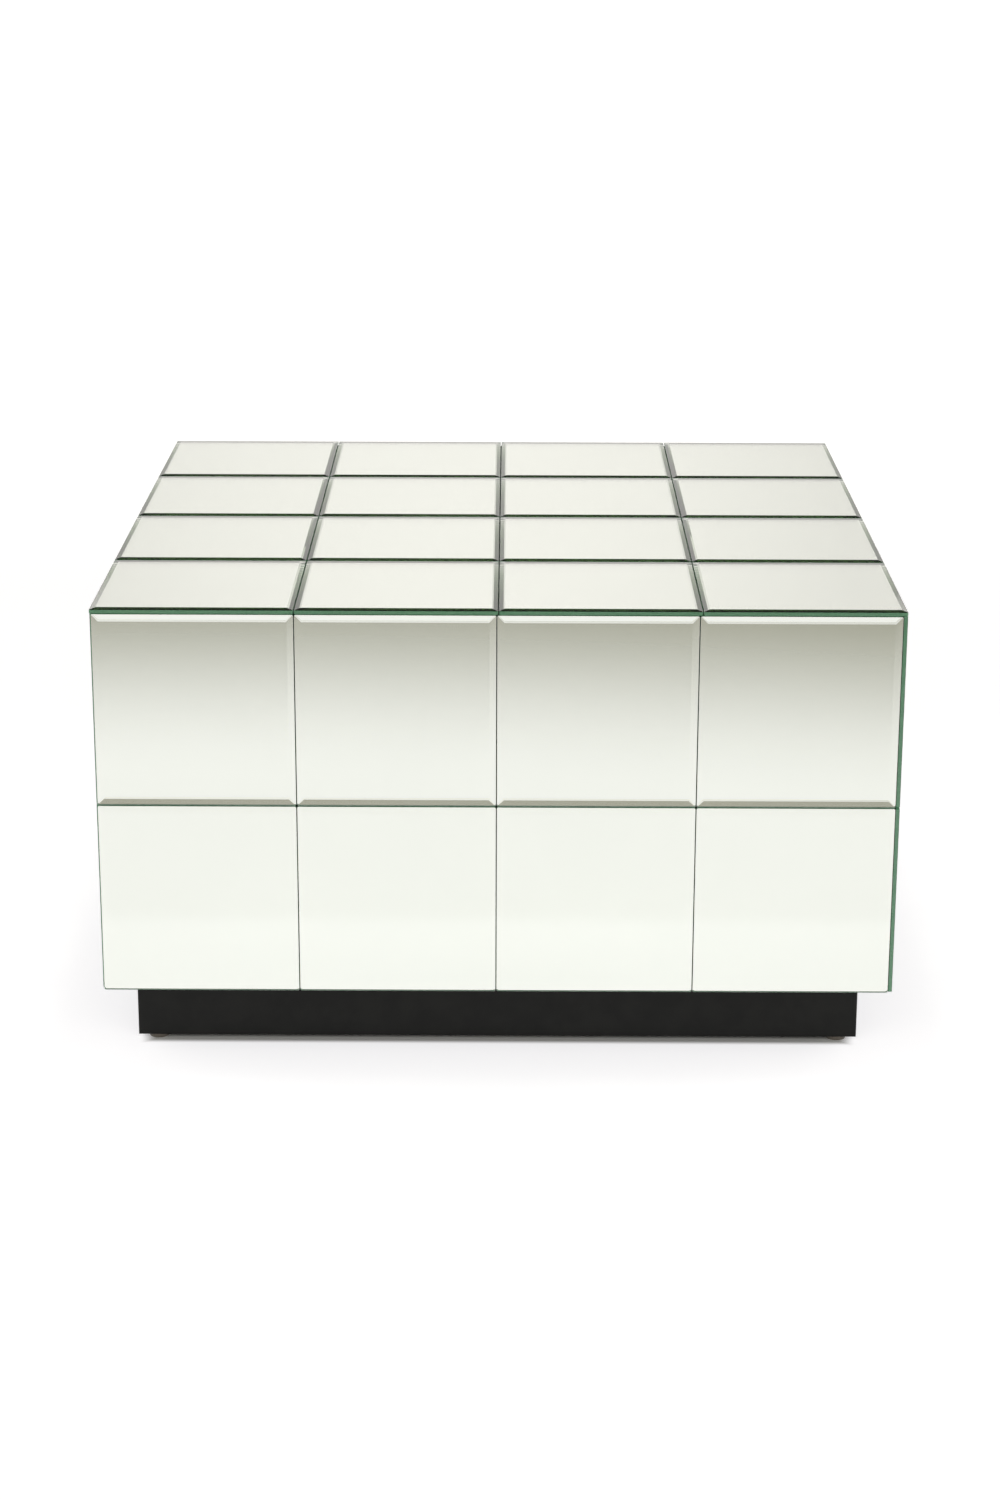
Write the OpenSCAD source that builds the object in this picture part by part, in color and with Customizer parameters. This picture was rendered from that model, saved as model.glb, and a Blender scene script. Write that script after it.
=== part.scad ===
// Low block coffee table: bevelled mirror tiles on a board carcass, over a
// recessed black plinth that stands on felt pads.
// Millimetres. Origin at the centre of the footprint, on the floor.
// +Z is up, and the front of the table faces -Y.

/* [Block] */
// Width over the faces of the side tiles
block_w = 802; // [500:1:1200]
// Depth over the faces of the side tiles
block_d = 802; // [500:1:1200]
// Height from the floor to the top of the tiles
table_h = 466; // [300:1:700]

/* [Mirror tiles] */
// Tiles across each face
tile_columns = 4; // [2:1:4]
// Rows of tiles on each side
tile_rows = 2; // [1:1:2]
// Thickness of the mirror glass
glass_t = 5; // [4:0.5:8]
// Width of the bevel on the top tiles
top_bevel_w = 6; // [4:0.5:15]
// Width of the bevel on the side tiles
side_bevel_w = 7; // [4:0.5:15]
// Glass that the bevel takes off at the tile's edge
bevel_depth = 1.2; // [0.6:0.1:2]
// Ground arris where the bevel meets the edge
arris = 0.3; // [0.2:0.1:1]
// Cut across each corner of a tile
corner_nip = 1; // [0.5:0.1:3]
// Joint between two tiles of one face
joint_gap = 1; // [0.5:0.1:4]
// Joint where the tiles of two faces meet
edge_gap = 0.8; // [0.3:0.1:3]
// Distance from the faces of the side tiles in to the edges of the top tiles
top_setback = 1.2; // [0:0.1:3]
// Distance from the face on the left of each side in to the start of its rows
corner_reveal = 2.8; // [0:0.1:4]

/* [Carcass] */
// Thickness of the carcass boards
board_t = 18; // [12:1:25]

/* [Plinth] */
// Height of the plinth rails
plinth_h = 62; // [40:1:120]
// Distance from the faces of the block back to the plinth
plinth_inset = 32; // [15:1:100]
// Thickness of the plinth rails
plinth_t = 22; // [18:1:30]
// Chamfer along the edges of the plinth rails
plinth_ease = 1; // [0.5:0.5:3]

/* [Felt pads] */
// Diameter of a felt pad
pad_d = 20; // [10:1:40]
// Thickness of a felt pad
pad_t = 4; // [2:0.5:8]
// Distance from the end of a plinth rail to the centre of its pad
pad_setback = 20; // [15:1:60]

/* [Screws] */
// Shank diameter of the wood screws
screw_d = 4.5; // [3:0.5:6]
// Length of the wood screws
screw_len = 45; // [30:1:60]
// Head diameter of the wood screws
screw_head_d = 9; // [7:0.5:12]
// Distance from the end of a board to its nearest screw
screw_setback = 70; // [40:1:100]

/* [Hidden] */
$fn = 48;

// Sides in anticlockwise order from above; each is a quarter turn on from the last
SIDES = ["front", "right", "back", "left"];

// Underside of the block, where the plinth starts
base_z = pad_t + plinth_h;
// Outside faces of the carcass, which are the backs of the tiles
carcass_w = block_w - 2 * glass_t;
carcass_d = block_d - 2 * glass_t;
carcass_top_z = table_h - glass_t;
// Walls stand between the bottom board and the top board
wall_z = base_z + board_t;
wall_h = carcass_top_z - board_t - wall_z;
// Outside faces of the plinth
plinth_w = block_w - 2 * plinth_inset;
plinth_d = block_d - 2 * plinth_inset;

// Height of the countersunk head, which is a 90 degree cone
head_h = (screw_head_d - screw_d) / 2;
// Length of the point
point_h = 2 * screw_d;
// Cross recess in the screw head
recess_w = screw_d / 4;
recess_depth = head_h * 0.7;

function top_tile_name(row, column) = str("top_tile_", row, "_", column);
function side_tile_name(side, row, column) = str(SIDES[side], "_tile_", row, "_", column);

// Outside edges of the top tiles
top_w = block_w - 2 * top_setback;
top_d = block_d - 2 * top_setback;

// Length of one of `count` equal tiles that share a run, with a joint between them
function tile_share(run, count) = (run - (count - 1) * joint_gap) / count;
// Centre of tile `index`, counted from 1, along a run that starts at `start`
function tile_centre(start, size, index) = start + size / 2 + (index - 1) * (size + joint_gap);

// Sides 0 and 2 run along the width, and sides 1 and 3 along the depth
function side_length(side) = side % 2 == 0 ? block_w : block_d;
function side_offset(side) = (side % 2 == 0 ? block_d : block_w) / 2;

// ---- Mirror tiles ----

// Rectangle with its four corners cut off
module nipped_rectangle(w, h, nip) {
    polygon([
        [-w / 2 + nip, -h / 2],
        [w / 2 - nip, -h / 2],
        [w / 2, -h / 2 + nip],
        [w / 2, h / 2 - nip],
        [w / 2 - nip, h / 2],
        [-w / 2 + nip, h / 2],
        [-w / 2, h / 2 - nip],
        [-w / 2, -h / 2 + nip]
    ]);
}

// The section of a tile across its width `w`, extruded along its length
module bevel_prism(w, length, bevel_w) {
    edge_t = glass_t - bevel_depth;
    bevel_at_arris = edge_t + bevel_depth * arris / bevel_w;
    rotate([90, 0, 0])
        linear_extrude(height = length, center = true)
            polygon([
                [-w / 2, 0],
                [w / 2, 0],
                [w / 2, edge_t - arris],
                [w / 2 - arris, bevel_at_arris],
                [w / 2 - bevel_w, glass_t],
                [-w / 2 + bevel_w, glass_t],
                [-w / 2 + arris, bevel_at_arris],
                [-w / 2, edge_t - arris]
            ]);
}

// Tile with its silvered back at z = 0, its face towards +Z and its centre on the Z axis
module bevelled_tile(w, h, bevel_w) {
    color([0.86, 0.88, 0.84])
        intersection() {
            bevel_prism(w, h, bevel_w);
            rotate([0, 0, 90]) bevel_prism(h, w, bevel_w);
            linear_extrude(height = glass_t) nipped_rectangle(w, h, corner_nip);
        }
}

// The top tiles lie over the side tiles, and their edges are flush with the foot of the side
// tiles' bevels; row 1 is at the front and column 1 at the left
module top_tile(row, column) {
    w = tile_share(top_w, tile_columns);
    d = tile_share(top_d, tile_columns);
    translate([tile_centre(-top_w / 2, w, column), tile_centre(-top_d / 2, d, row), carcass_top_z])
        bevelled_tile(w, d, top_bevel_w);
}

// Each side's row starts just short of the face on its left and stops behind the tiles on its
// right, so the corners turn the same way all round. Row 1 is the lower row.
module side_tile(side, row, column) {
    row_start = corner_reveal - side_length(side) / 2;
    row_end = side_length(side) / 2 - glass_t - edge_gap;
    w = tile_share(row_end - row_start, tile_columns);
    h = tile_share(carcass_top_z - edge_gap - base_z, tile_rows);
    rotate([0, 0, 90 * side])
        translate([
            tile_centre(row_start, w, column),
            glass_t - side_offset(side),
            tile_centre(base_z, h, row)
        ])
            rotate([90, 0, 0]) bevelled_tile(w, h, side_bevel_w);
}

// ---- Screws ----

// Countersunk wood screw: head flush with z = 0, point towards -Z
module screw_blank() {
    translate([0, 0, -head_h]) cylinder(d1 = screw_d, d2 = screw_head_d, h = head_h);
    translate([0, 0, -(screw_len - point_h)]) cylinder(d = screw_d, h = screw_len - point_h - head_h);
    translate([0, 0, -screw_len]) cylinder(d1 = screw_d / 8, d2 = screw_d, h = point_h);
}

module wood_screw() {
    difference() {
        screw_blank();
        for (turn = [0, 90])
            rotate([0, 0, turn])
                translate([-screw_d / 2, -recess_w / 2, -recess_depth])
                    cube([screw_d, recess_w, recess_depth + 1]);
    }
}

// Two places along a board of this length, the same distance in from each end
module at_both_ends(length) {
    for (end = [-1, 1]) translate([end * (length / 2 - screw_setback), 0, 0]) children();
}

// Along the middle of the four walls' edges, in plan
module over_walls() {
    for (end = [-1, 1]) {
        translate([0, end * (carcass_d - board_t) / 2, 0]) at_both_ends(carcass_w) children();
        translate([end * (carcass_w - board_t) / 2, 0, 0]) rotate([0, 0, 90]) at_both_ends(carcass_d) children();
    }
}

// Along the middle of the four plinth rails, in plan
module over_plinth() {
    for (end = [-1, 1]) {
        translate([0, end * (plinth_d - plinth_t) / 2, 0]) at_both_ends(plinth_w) children();
        translate([end * (plinth_w - plinth_t) / 2, 0, 0]) rotate([0, 0, 90]) at_both_ends(plinth_d) children();
    }
}

// Every screw of the table, each child placed with its head at z = 0
module at_screws() {
    // Down through the top board into the walls
    translate([0, 0, carcass_top_z]) over_walls() children();
    // Up through the bottom board into the walls
    translate([0, 0, base_z]) over_walls() rotate([180, 0, 0]) children();
    // Down through the bottom board into the plinth
    translate([0, 0, wall_z]) over_plinth() children();
    // Through the front and back walls into the ends of the left and right walls
    for (turn = [0, 180], end = [-1, 1], level = [-1, 1])
        rotate([0, 0, turn])
            translate([
                end * (carcass_w - board_t) / 2,
                -carcass_d / 2,
                wall_z + wall_h / 2 + level * (wall_h / 2 - screw_setback)
            ])
                rotate([90, 0, 0]) children();
}

module wood_screws() {
    color([0.75, 0.72, 0.6]) at_screws() wood_screw();
}

// ---- Carcass ----

// A board between two opposite corners, with the holes for every screw that meets it
module drilled_board(low, high) {
    color([0.13, 0.13, 0.12])
        difference() {
            translate(low) cube(high - low);
            at_screws() screw_blank();
        }
}

module carcass_top() {
    drilled_board(
        [-carcass_w / 2, -carcass_d / 2, carcass_top_z - board_t],
        [carcass_w / 2, carcass_d / 2, carcass_top_z]
    );
}

module carcass_bottom() {
    drilled_board(
        [-carcass_w / 2, -carcass_d / 2, base_z],
        [carcass_w / 2, carcass_d / 2, wall_z]
    );
}

// The front and back walls run the full width
module carcass_front() {
    drilled_board(
        [-carcass_w / 2, -carcass_d / 2, wall_z],
        [carcass_w / 2, -carcass_d / 2 + board_t, wall_z + wall_h]
    );
}

module carcass_back() {
    drilled_board(
        [-carcass_w / 2, carcass_d / 2 - board_t, wall_z],
        [carcass_w / 2, carcass_d / 2, wall_z + wall_h]
    );
}

// The left and right walls stand between them
module carcass_left() {
    drilled_board(
        [-carcass_w / 2, -carcass_d / 2 + board_t, wall_z],
        [-carcass_w / 2 + board_t, carcass_d / 2 - board_t, wall_z + wall_h]
    );
}

module carcass_right() {
    drilled_board(
        [carcass_w / 2 - board_t, -carcass_d / 2 + board_t, wall_z],
        [carcass_w / 2, carcass_d / 2 - board_t, wall_z + wall_h]
    );
}

// ---- Plinth ----

// Rail along X with its outer face towards -Y at y = 0, standing on the pads.
// Its outer upright edges and its lower edges are eased.
module rail_blank(length, ends_show) {
    end_ease = ends_show ? plinth_ease : 0;
    intersection() {
        translate([0, 0, pad_t])
            linear_extrude(height = plinth_h)
                polygon([
                    [-length / 2 + end_ease, 0],
                    [length / 2 - end_ease, 0],
                    [length / 2, end_ease],
                    [length / 2, plinth_t],
                    [-length / 2, plinth_t],
                    [-length / 2, end_ease]
                ]);
        rotate([90, 0, 90])
            linear_extrude(height = length, center = true)
                polygon([
                    [plinth_ease, pad_t],
                    [plinth_t - plinth_ease, pad_t],
                    [plinth_t, pad_t + plinth_ease],
                    [plinth_t, base_z],
                    [0, base_z],
                    [0, pad_t + plinth_ease]
                ]);
    }
}

// Rail of one side; the front and back rails run the full width and the others stand between them
module plinth_rail(side) {
    along_width = side % 2 == 0;
    length = along_width ? plinth_w : plinth_d - 2 * plinth_t;
    offset_y = (along_width ? plinth_d : plinth_w) / 2;
    color([0.13, 0.13, 0.12])
        difference() {
            rotate([0, 0, 90 * side]) translate([0, -offset_y, 0]) rail_blank(length, along_width);
            at_screws() screw_blank();
        }
}

module plinth_front() {
    plinth_rail(0);
}

module plinth_right() {
    plinth_rail(1);
}

module plinth_back() {
    plinth_rail(2);
}

module plinth_left() {
    plinth_rail(3);
}

// ---- Feet ----

// One pad under each end of the front rail and of the back rail
module felt_pads() {
    color([0.33, 0.29, 0.25])
        for (turn = [0, 180], end = [-1, 1])
            rotate([0, 0, turn])
                translate([end * (plinth_w / 2 - pad_setback), (plinth_t - plinth_d) / 2, 0])
                    cylinder(d = pad_d, h = pad_t);
}

// ---- Nodes ----

for (row = [1:tile_columns], column = [1:tile_columns])
    top_tile(row, column);
for (side = [0:3], row = [1:tile_rows], column = [1:tile_columns])
    side_tile(side, row, column);
carcass_top();
carcass_bottom();
carcass_front();
carcass_back();
carcass_left();
carcass_right();
plinth_front();
plinth_back();
plinth_left();
plinth_right();
felt_pads();
wood_screws();
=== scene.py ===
"""Looks for the mirror-tiled block coffee table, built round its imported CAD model.

Metres, in the CAD frame: the origin is on the floor under the middle of the
block, +Z is up and the front of the table faces -Y.
"""
import math

import bmesh
import bpy
from mathutils import Matrix, Vector


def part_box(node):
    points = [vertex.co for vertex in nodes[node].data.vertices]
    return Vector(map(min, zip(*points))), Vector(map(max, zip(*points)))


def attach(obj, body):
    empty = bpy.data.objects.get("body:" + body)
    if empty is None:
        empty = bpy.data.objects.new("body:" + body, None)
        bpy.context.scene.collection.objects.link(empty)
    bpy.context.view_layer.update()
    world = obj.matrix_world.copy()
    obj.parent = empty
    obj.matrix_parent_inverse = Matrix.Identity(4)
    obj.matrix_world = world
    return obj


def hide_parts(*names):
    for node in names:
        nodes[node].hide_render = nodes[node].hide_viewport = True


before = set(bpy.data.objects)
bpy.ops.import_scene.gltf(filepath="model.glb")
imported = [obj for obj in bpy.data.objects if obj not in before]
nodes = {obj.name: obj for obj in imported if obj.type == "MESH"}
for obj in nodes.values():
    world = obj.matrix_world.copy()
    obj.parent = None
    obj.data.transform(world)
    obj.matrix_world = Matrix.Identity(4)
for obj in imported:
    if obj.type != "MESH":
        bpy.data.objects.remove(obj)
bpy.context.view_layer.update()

MM = 0.001

# ---- Node helpers ----
# A colour is its red, green and blue, and an opacity of 1


def new_tree(owner):
    """The emptied node tree of a new material or world."""
    owner.use_nodes = True
    owner.node_tree.nodes.clear()
    return owner.node_tree


def new_material(name):
    material = bpy.data.materials.new(name)
    return material, new_tree(material)


def add(tree, kind, settings=None, **sockets):
    """Adds a node with its settings, and a value or a (node, output) pair on each named socket.
    An underscore in a socket's name stands for a space; _0, _1 and so on are sockets by number."""
    node = tree.nodes.new(kind)
    for key, value in (settings or {}).items():
        setattr(node, key, value)
    for key, value in sockets.items():
        number = key[1:]
        socket = node.inputs[int(number) if number.isdigit() else key.replace("_", " ")]
        if isinstance(value, tuple) and isinstance(value[0], bpy.types.Node):
            tree.links.new(value[0].outputs[value[1]], socket)
        else:
            socket.default_value = value
    return node


def maths(tree, operation, a, b):
    return add(tree, "ShaderNodeMath", {"operation": operation}, _0=a, _1=b), 0


def ramp_between(tree, value, low, high):
    """Rises smoothly from 0 at `low` to 1 at `high`."""
    settings = {"interpolation_type": "SMOOTHSTEP"}
    return add(tree, "ShaderNodeMapRange", settings, Value=value, From_Min=low, From_Max=high), "Result"


def spread(tree, value, low, high):
    """Carries a value from 0 to 1 over to the range from `low` to `high`."""
    return add(tree, "ShaderNodeMapRange", Value=value, To_Min=low, To_Max=high), "Result"


def colour_mix(tree, factor, low, high):
    """Runs from the colour `low` where the factor is 0 to `high` where it is 1."""
    # In a Mix node, inputs 6 and 7 and output 2 are the ones for colours
    return add(tree, "ShaderNodeMix", {"data_type": "RGBA"}, _0=factor, _6=low, _7=high), 2


def grey(level):
    return (level, level, level, 1.0)


def noise(tree, scale, detail, stretch=(1.0, 1.0, 1.0)):
    """Noise over the piece's own surface, in the CAD frame, with about `scale` waves to a metre."""
    place = add(tree, "ShaderNodeTexCoord")
    stretched = add(tree, "ShaderNodeMapping", Vector=(place, "Object"), Scale=stretch)
    texture = add(tree, "ShaderNodeTexNoise", Vector=(stretched, "Vector"), Scale=scale, Detail=detail)
    return texture, 0


def bump(tree, height, depth):
    """Normal for a relief `depth` metres deep."""
    return add(tree, "ShaderNodeBump", Height=height, Distance=depth), "Normal"


def surface(tree, **sockets):
    """Principled shader on the material's output."""
    shader = add(tree, "ShaderNodeBsdfPrincipled", **sockets)
    return add(tree, "ShaderNodeOutputMaterial", Surface=(shader, "BSDF"))


# ---- Materials ----


def clear_glass():
    """Clear float glass, faintly wavy, that turns green over a long path."""
    material, tree = new_material("clear_glass")
    waves = noise(tree, scale=9.0, detail=1.0)
    output = surface(
        tree,
        Base_Color=grey(1.0),
        Roughness=0.0,
        IOR=1.52,
        Transmission_Weight=1.0,
        Normal=bump(tree, waves, depth=0.02 * MM),
    )
    green = (0.12, 0.76, 0.30, 1.0)
    absorption = add(tree, "ShaderNodeVolumeAbsorption", Color=green, Density=6.5)
    tree.links.new(absorption.outputs["Volume"], output.inputs["Volume"])
    return material


def silvering():
    """Silvered back, with a faint cloudiness."""
    material, tree = new_material("silvering")
    clouds = noise(tree, scale=14.0, detail=4.0)
    dull = (0.877, 0.868, 0.835, 1.0)
    bright = (0.897, 0.888, 0.855, 1.0)
    surface(tree, Base_Color=colour_mix(tree, clouds, dull, bright), Metallic=1.0, Roughness=0.0)
    return material


def ground_edge():
    """Ground edge of the glass: satin green and mottled, its green partly the glass's own and partly
    painted light, with paler speckles that are painted glints, and a faint painted glow that
    stands for the light that comes out here after travelling inside the glass."""
    material, tree = new_material("ground_glass_edge")
    speckle = noise(tree, scale=900.0, detail=3.0)
    patches = noise(tree, scale=60.0, detail=2.0)
    # The greens are partly the ground glass's own colour and partly painted light; the palest green is
    # a painted glint
    deep_green = (0.125, 0.33, 0.17, 1.0)
    mid_green = (0.17, 0.40, 0.22, 1.0)
    painted_glint_green = (0.22, 0.46, 0.28, 1.0)
    mottled = colour_mix(tree, patches, deep_green, mid_green)
    tone = colour_mix(tree, ramp_between(tree, speckle, 0.35, 0.75), mottled, painted_glint_green)
    surface(
        tree,
        Base_Color=tone,
        Roughness=spread(tree, speckle, 0.4, 0.6),
        Normal=bump(tree, speckle, depth=0.05 * MM),
        Emission_Color=(0.25, 1.0, 0.48, 1.0),
        Emission_Strength=0.06,
    )
    return material


def black_board():
    """Black-faced board, with a faint pressed grain."""
    material, tree = new_material("black_faced_board")
    grain = noise(tree, scale=60.0, detail=5.0, stretch=(1.0, 1.0, 8.0))
    surface(
        tree,
        Base_Color=colour_mix(tree, grain, grey(0.004), grey(0.012)),
        Roughness=spread(tree, grain, 0.5, 0.7),
        Normal=bump(tree, grain, depth=0.1 * MM),
    )
    return material


def matt_paint():
    """Sprayed matt black paint, with faint orange peel and mottling."""
    material, tree = new_material("matt_black_paint")
    mottle = noise(tree, scale=35.0, detail=5.0)
    peel = noise(tree, scale=420.0, detail=2.0)
    black = (0.0035, 0.0037, 0.0030, 1.0)
    paler_black = (0.0072, 0.0073, 0.0062, 1.0)
    surface(
        tree,
        Base_Color=colour_mix(tree, ramp_between(tree, mottle, 0.3, 0.7), black, paler_black),
        Roughness=spread(tree, mottle, 0.42, 0.56),
        Specular_IOR_Level=0.2,
        Normal=bump(tree, peel, depth=0.04 * MM),
    )
    return material


def felt():
    """Pressed brown felt."""
    material, tree = new_material("pressed_felt")
    fibres = noise(tree, scale=1400.0, detail=6.0)
    dark_brown = (0.06, 0.05, 0.04, 1.0)
    light_brown = (0.19, 0.165, 0.135, 1.0)
    surface(
        tree,
        Base_Color=colour_mix(tree, fibres, dark_brown, light_brown),
        Roughness=0.95,
        Sheen_Weight=0.4,
        Normal=bump(tree, fibres, depth=0.3 * MM),
    )
    return material


def zinc_steel():
    """Yellow-zinc screws, with small clouds of paler plating."""
    material, tree = new_material("zinc_plated_steel")
    clouds = noise(tree, scale=300.0, detail=3.0)
    yellow = (0.60, 0.52, 0.33, 1.0)
    pale_yellow = (0.78, 0.72, 0.52, 1.0)
    surface(
        tree,
        Base_Color=colour_mix(tree, clouds, yellow, pale_yellow),
        Metallic=1.0,
        Roughness=spread(tree, clouds, 0.25, 0.45),
    )
    return material


# ---- Mirror tiles, with the sizes of the CAD tiles that they stand for ----

TOP_BEVEL_W = 6 * MM
SIDE_BEVEL_W = 7 * MM
BEVEL_DEPTH = 1.2 * MM
CORNER_NIP = 1 * MM
ARRIS = 0.3 * MM
ARRIS_STEPS = 3
# The silvering and the ground edges are a thin tray just inside the clear glass
TRAY_SETBACK = 0.05 * MM
TRAY_WALL = 0.05 * MM
TILE_MATERIALS = (clear_glass, silvering, ground_edge)

# Signs of a tile's corners, anticlockwise from the lower left
CORNERS = ((-1, -1), (1, -1), (1, 1), (-1, 1))
# An outline has three points at each corner: the two ends of the cut across it, and its middle
CORNER_POINTS = 3
CUT_MIDDLE = 1


def nip_at(inset):
    """Length that the cut across a corner takes off a side, where the outline is set in."""
    return max(CORNER_NIP - inset * (2 - math.sqrt(2)), 0.0)


def nipped_outline(half_w, half_h, nip):
    """Outline of a tile at one level, anticlockwise from the lower left; each corner gives
    the end of one side, the middle of the cut across the corner and the start of the next side."""
    points = []
    for sx, sy in CORNERS:
        corner = Vector((sx * half_w, sy * half_h))
        along_x = Vector((-sx * nip, 0))
        along_y = Vector((0, -sy * nip))
        cut = [corner + along_y, corner + (along_x + along_y) / 2, corner + along_x]
        if sx == sy:
            points += cut
        else:
            points += cut[::-1]
    return points


def tile_mesh(name, w, h, thickness, bevel_w):
    """Closed glass body with its face towards +Z, and the tray inside it."""
    mesh = bmesh.new()
    slope = BEVEL_DEPTH / bevel_w
    edge_t = thickness - BEVEL_DEPTH
    rim = edge_t - ARRIS

    def ring(inset, level, rise=0.0):
        """Vertices round the tile; the ones in the middle of a corner's cut stand `rise` higher."""
        outline = nipped_outline(w / 2 - inset, h / 2 - inset, nip_at(inset))
        return [
            mesh.verts.new((p.x, p.y, level + (rise if i % CORNER_POINTS == CUT_MIDDLE else 0.0)))
            for i, p in enumerate(outline)
        ]

    def band(lower, upper):
        """Faces between two rings."""
        count = len(lower)
        after = [(i + 1) % count for i in range(count)]
        return [mesh.faces.new((lower[i], lower[j], upper[j], upper[i])) for i, j in enumerate(after)]

    # Edge of the glass, then the rounded arris up to the foot of the bevel
    rings = [ring(0.0, 0.0), ring(0.0, rim)]
    top_of_arris = edge_t + ARRIS * slope
    for step in range(1, ARRIS_STEPS + 1):
        part = step / ARRIS_STEPS
        angle = math.pi / 2 * part
        inset = ARRIS * (1 - math.cos(angle))
        level = rim + (top_of_arris - rim) * math.sin(angle)
        rings.append(ring(inset, level, slope * nip_at(inset) / 2 * part))
    for lower, upper in zip(rings, rings[1:]):
        band(lower, upper)
    mesh.faces.new(rings[0][::-1])

    # Bevels up to the flat face, each from the middle of one corner's cut to the middle of the next
    foot = rings[-1]
    cuts = [foot[i:i + CORNER_POINTS] for i in range(0, len(foot), CORNER_POINTS)]
    flat = [
        mesh.verts.new((sx * (w / 2 - bevel_w), sy * (h / 2 - bevel_w), thickness))
        for sx, sy in CORNERS
    ]
    for side in range(len(CORNERS)):
        after = (side + 1) % len(CORNERS)
        here = cuts[side][CUT_MIDDLE:]
        there = cuts[after][:CUT_MIDDLE + 1]
        mesh.faces.new((*here, *there, flat[after], flat[side]))
    mesh.faces.new(flat)

    # Tray: silvering across the back, ground glass up the edges
    outer_foot = ring(TRAY_SETBACK, TRAY_SETBACK)
    outer_rim = ring(TRAY_SETBACK, rim)
    inner_rim = ring(TRAY_SETBACK + TRAY_WALL, rim)
    inner_foot = ring(TRAY_SETBACK + TRAY_WALL, TRAY_SETBACK + TRAY_WALL)
    silvered = [mesh.faces.new(outer_foot[::-1]), mesh.faces.new(inner_foot)]
    ground = band(outer_foot, outer_rim) + band(outer_rim, inner_rim) + band(inner_rim, inner_foot)
    for face in silvered:
        face.material_index = TILE_MATERIALS.index(silvering)
    for face in ground:
        face.material_index = TILE_MATERIALS.index(ground_edge)

    mesh.normal_update()
    data = bpy.data.meshes.new(name)
    mesh.to_mesh(data)
    mesh.free()
    return data


# Directions of a tile's width, height and face on each side of the block
SIDE_AXES = {
    "top": (Vector((1, 0, 0)), Vector((0, 1, 0)), Vector((0, 0, 1))),
    "front": (Vector((1, 0, 0)), Vector((0, 0, 1)), Vector((0, -1, 0))),
    "right": (Vector((0, 1, 0)), Vector((0, 0, 1)), Vector((1, 0, 0))),
    "back": (Vector((-1, 0, 0)), Vector((0, 0, 1)), Vector((0, 1, 0))),
    "left": (Vector((0, -1, 0)), Vector((0, 0, 1)), Vector((-1, 0, 0))),
}


def mirror_tile(node, side, materials):
    """Glass tile that stands for one CAD tile, in its place."""
    across, up, out = SIDE_AXES[side]
    low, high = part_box(node)
    size = high - low
    w, h, thickness = (abs(size.dot(axis)) for axis in (across, up, out))
    bevel_w = TOP_BEVEL_W if side == "top" else SIDE_BEVEL_W
    name = node.replace("tile", "mirror")
    data = tile_mesh(name, w, h, thickness, bevel_w)
    for material in materials:
        data.materials.append(material)
    back_centre = (low + high) / 2 - out * thickness / 2
    turn = Matrix((across, up, out)).transposed().to_4x4()
    data.transform(Matrix.Translation(back_centre) @ turn)
    tile = bpy.data.objects.new(name, data)
    bpy.context.scene.collection.objects.link(tile)
    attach(tile, "root")
    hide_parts(node)


def build_tiles():
    """A glass tile for every CAD tile, all with the same materials."""
    materials = [make() for make in TILE_MATERIALS]
    for side in SIDE_AXES:
        for node in sorted(n for n in nodes if n.startswith(side + "_tile_")):
            mirror_tile(node, side, materials)


# ---- Carried-over CAD nodes ----


def paint_nodes():
    """Materials for the CAD nodes that stay, by the start of their names."""
    finishes = {
        "carcass": black_board(),
        "plinth": matt_paint(),
        "felt": felt(),
        "wood_screws": zinc_steel(),
    }
    for start, material in finishes.items():
        for name in (n for n in nodes if n.startswith(start)):
            for slot in nodes[name].material_slots:
                slot.material = material


# ---- Floor ----

FLOOR_HALF = 3.0
FLOOR_GRID = 8
FLOOR_COLOUR = (0.88, 0.87, 0.845, 1.0)
# It turns clear towards its rim, over an oval that is longer across than front to back
FLOOR_FADE_SPREAD = (0.6, 1.0, 1.0)
FLOOR_FADE_SHIFT = (0.33, -0.05, 0.0)
FLOOR_FADE = (1.33, 2.4)
# It has a painted glow, left out as painted shade where the table stands on it: the glow comes up to
# full brightness between these distances from the middle, at the sides and in front and behind
FLOOR_PAINTED_SHADE_BESIDE = (0.350, 0.368)
FLOOR_PAINTED_SHADE_BEFORE = (0.371, 0.382)
# The painted glow is a little brighter round the table, a painted pool of light, and drops between
# these distances
FLOOR_PAINTED_POOL = (0.74, 0.79)
FLOOR_LIGHT_NEAR = (0.645, 0.64, 0.66, 1.0)
FLOOR_LIGHT_BEYOND = (0.595, 0.59, 0.605, 1.0)


def painted_floor_glow(tree, place):
    """Colour of the floor's painted glow: painted shade under the table, and a painted pool of light
    round it.
    """
    offset = add(tree, "ShaderNodeVectorMath", {"operation": "ABSOLUTE"}, _0=(place, "Position"))
    away = add(tree, "ShaderNodeSeparateXYZ", _0=(offset, "Vector"))
    reach = maths(tree, "MAXIMUM", (away, "X"), (away, "Y"))
    lit_beside = ramp_between(tree, (away, "X"), *FLOOR_PAINTED_SHADE_BESIDE)
    lit_before = ramp_between(tree, (away, "Y"), *FLOOR_PAINTED_SHADE_BEFORE)
    lit = maths(tree, "MAXIMUM", lit_beside, lit_before)
    # Painted pool of light round the table
    beyond = ramp_between(tree, reach, *FLOOR_PAINTED_POOL)
    pool_glow = colour_mix(tree, beyond, FLOOR_LIGHT_NEAR, FLOOR_LIGHT_BEYOND)
    # Painted shade: no glow under the table
    return colour_mix(tree, lit, grey(0.0), pool_glow)


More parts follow.
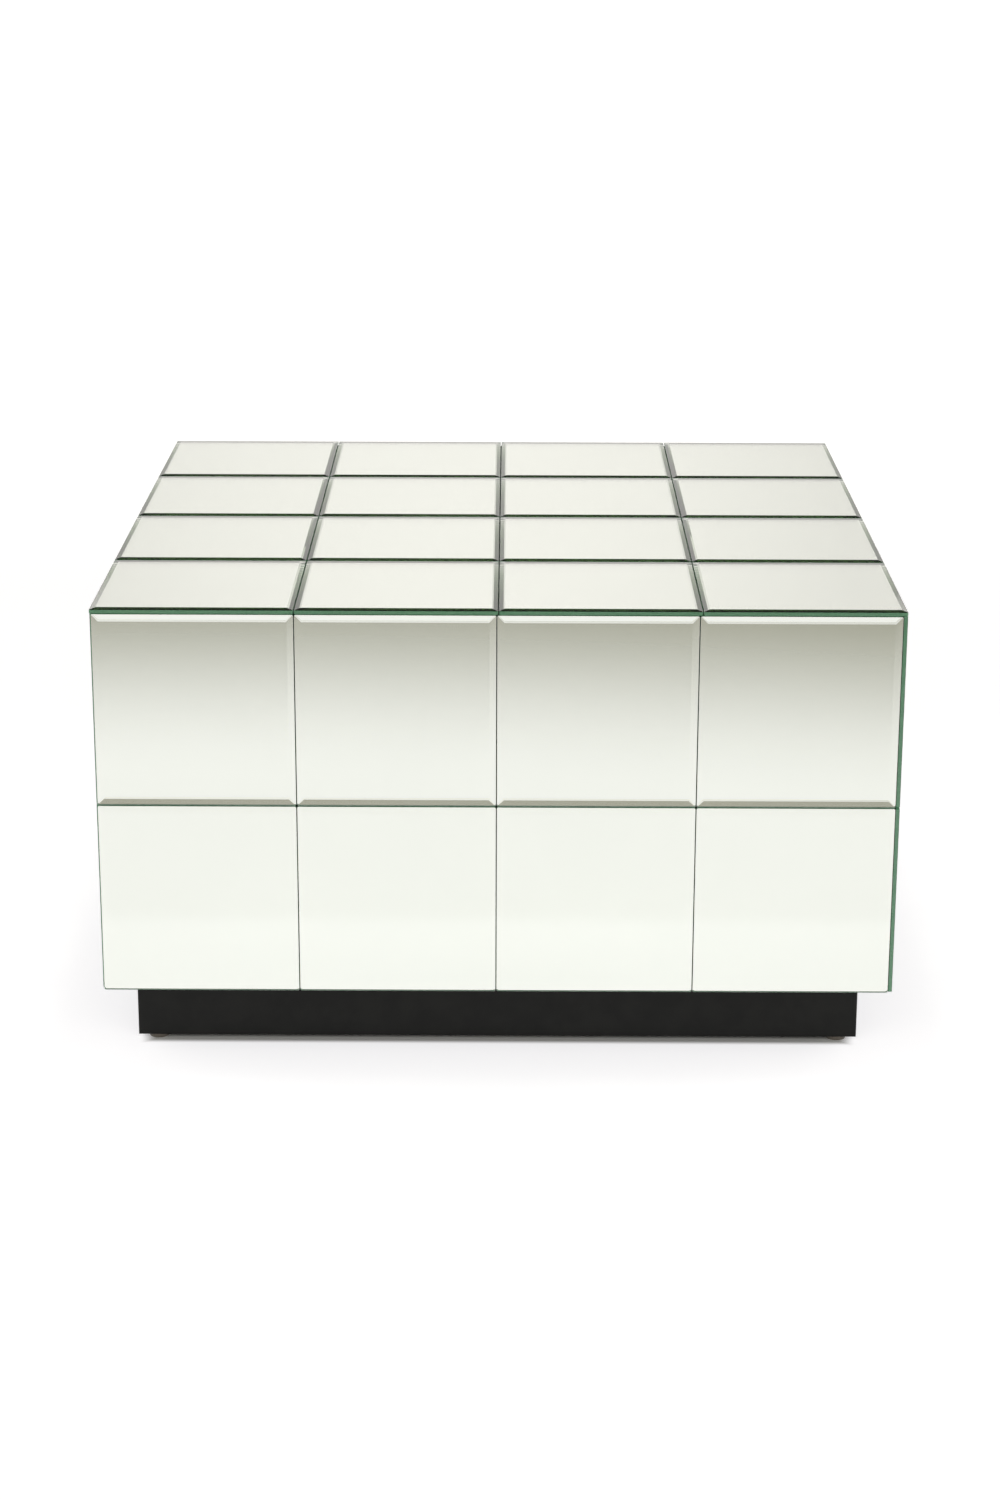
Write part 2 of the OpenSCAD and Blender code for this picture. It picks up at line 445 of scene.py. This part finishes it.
def floor_fade(tree, place):
    """0 where the floor is solid, and 1 where it has given way to the room's light."""
    oval = add(
        tree,
        "ShaderNodeMapping",
        Vector=(place, "Position"),
        Location=FLOOR_FADE_SHIFT,
        Scale=FLOOR_FADE_SPREAD,
    )
    distance = add(tree, "ShaderNodeVectorMath", {"operation": "LENGTH"}, _0=(oval, "Vector"))
    return ramp_between(tree, (distance, "Value"), *FLOOR_FADE)


def floor_material():
    """Matt and pale, with a soft painted glow that leaves painted shade under the table, and clear at
    the rim.
    """
    material, tree = new_material("pale_floor")
    place = add(tree, "ShaderNodeNewGeometry")
    fade = floor_fade(tree, place)
    solid = add(
        tree,
        "ShaderNodeBsdfPrincipled",
        Base_Color=FLOOR_COLOUR,
        Roughness=1.0,
        Specular_IOR_Level=0.0,
        Emission_Color=painted_floor_glow(tree, place),
        Emission_Strength=1.0,
    )
    clear = add(tree, "ShaderNodeBsdfTransparent")
    mix = add(tree, "ShaderNodeMixShader", _0=fade, _1=(solid, 0), _2=(clear, 0))
    add(tree, "ShaderNodeOutputMaterial", Surface=(mix, 0))
    return material


def pale_floor():
    """Pale floor that gives way to the room's light at its rim, so that no edge shows."""
    mesh = bmesh.new()
    bmesh.ops.create_grid(mesh, x_segments=FLOOR_GRID, y_segments=FLOOR_GRID, size=FLOOR_HALF)
    data = bpy.data.meshes.new("studio_floor")
    mesh.to_mesh(data)
    mesh.free()
    plane = bpy.data.objects.new("studio_floor", data)
    bpy.context.scene.collection.objects.link(plane)
    data.materials.append(floor_material())


# ---- Light ----

# The room's light changes with the direction it comes from, a unit vector with +Y behind the
# table and +Z up. Each change runs between two values of one of its parts.
ROOM_FRONT_TO_BACK = (-0.7, 0.5)
ROOM_HORIZON = (-0.02, 0.08)
ROOM_CEILING = (0.45, 0.56)
LOW_FRONT = (0.405, 0.392, 0.325, 1.0)
LOW_BACK = (1.15, 1.13, 1.10, 1.0)
HIGH_FRONT = (0.97, 0.96, 0.925, 1.0)
CEILING = (0.14, 0.14, 0.135, 1.0)
# Above the horizon the back is brightest a little left of the middle. It falls off with the
# square of the distance across, by at most POOL_MOST_FALL.
POOL_COLOUR = (1.075, 1.035, 1.015, 1.0)
POOL_LEFT = 0.017
POOL_FALL = 8.5
POOL_MOST_FALL = 0.15


def studio_world():
    """Room light by direction. Low down it is dim and warm in front of the table and white
    behind it; above the horizon it is pale in front, with a pool of light behind; the ceiling
    is dark."""
    room = bpy.data.worlds.new("studio")
    bpy.context.scene.world = room
    tree = new_tree(room)
    place = add(tree, "ShaderNodeTexCoord")
    toward = add(tree, "ShaderNodeSeparateXYZ", _0=(place, "Generated"))
    behind = ramp_between(tree, (toward, "Y"), *ROOM_FRONT_TO_BACK)
    above = ramp_between(tree, (toward, "Z"), *ROOM_HORIZON)
    overhead = ramp_between(tree, (toward, "Z"), *ROOM_CEILING)
    off_centre = maths(tree, "ADD", (toward, "X"), POOL_LEFT)
    squared = maths(tree, "MULTIPLY", off_centre, off_centre)
    fall = maths(tree, "MULTIPLY", squared, POOL_FALL)
    limited = maths(tree, "MINIMUM", fall, POOL_MOST_FALL)
    pool = colour_mix(tree, limited, POOL_COLOUR, grey(0.0))
    low = colour_mix(tree, behind, LOW_FRONT, LOW_BACK)
    high = colour_mix(tree, behind, HIGH_FRONT, pool)
    walls = colour_mix(tree, above, low, high)
    light = colour_mix(tree, overhead, walls, CEILING)
    background = add(tree, "ShaderNodeBackground", Color=light)
    add(tree, "ShaderNodeOutputWorld", Surface=(background, 0))


SOFTBOX_HEIGHT = 1.2


def softbox(name, place, aim, width, watts):
    """Oblong area light at `place`, turned towards `aim`."""
    data = bpy.data.lights.new(name, "AREA")
    data.shape = "RECTANGLE"
    data.size = width
    data.size_y = SOFTBOX_HEIGHT
    data.energy = watts
    light = bpy.data.objects.new(name, data)
    light.location = place
    light.rotation_mode = "QUATERNION"
    light.rotation_quaternion = (Vector(aim) - Vector(place)).to_track_quat("-Z", "Y")
    bpy.context.scene.collection.objects.link(light)


def softboxes():
    """A wide weak one above the camera, and one high up on each side."""
    softbox("key_softbox", place=(0.0, -2.8, 2.4), aim=(0.0, -0.2, 0.0), width=4.0, watts=13)
    for name, side in (("left_softbox", -1), ("right_softbox", 1)):
        softbox(name, place=(side * 2.6, 0.2, 2.2), aim=(side * 0.4, 0.2, 0.0), width=2.0, watts=12)


def light_paths():
    """Long light paths, because light crosses a tile some twenty times before it leaves the
    bevels that face the viewer."""
    scene = bpy.context.scene
    scene.view_settings.view_transform = "Standard"
    cycles = scene.cycles
    cycles.max_bounces = 64
    cycles.glossy_bounces = 64
    cycles.transmission_bounces = 64
    cycles.diffuse_bounces = 3
    cycles.transparent_max_bounces = 16
    cycles.caustics_reflective = False
    cycles.caustics_refractive = True
    cycles.blur_glossy = 0.0


# ---- Camera, from the photograph's viewing angle ----

CAMERA_PLACE = (0.010, -3.177, 1.216)
CAMERA_PITCH = math.radians(16.56)
CAMERA_YAW = math.radians(-0.17)
CAMERA_ROLL = math.radians(0.17)
CAMERA_LENS = 70.8
CAMERA_SENSOR = 36
CAMERA_SHIFT_Y = -0.0436
CAMERA_CLIP = (0.1, 100)


def camera():
    """Camera that looks along +Y, pitched down, and then turned by its small yaw and roll."""
    data = bpy.data.cameras.new("camera")
    data.lens = CAMERA_LENS
    data.sensor_width = CAMERA_SENSOR
    data.shift_y = CAMERA_SHIFT_Y
    data.clip_start, data.clip_end = CAMERA_CLIP
    eye = bpy.data.objects.new("camera", data)
    eye.location = CAMERA_PLACE
    yaw = Matrix.Rotation(-CAMERA_YAW, 4, "Z")
    pitch = Matrix.Rotation(math.pi / 2 - CAMERA_PITCH, 4, "X")
    roll = Matrix.Rotation(CAMERA_ROLL, 4, "Z")
    eye.rotation_mode = "QUATERNION"
    eye.rotation_quaternion = (yaw @ pitch @ roll).to_quaternion()
    bpy.context.scene.collection.objects.link(eye)
    bpy.context.scene.camera = eye


# ---- The whole scene ----

build_tiles()
paint_nodes()
pale_floor()
studio_world()
softboxes()
light_paths()
camera()
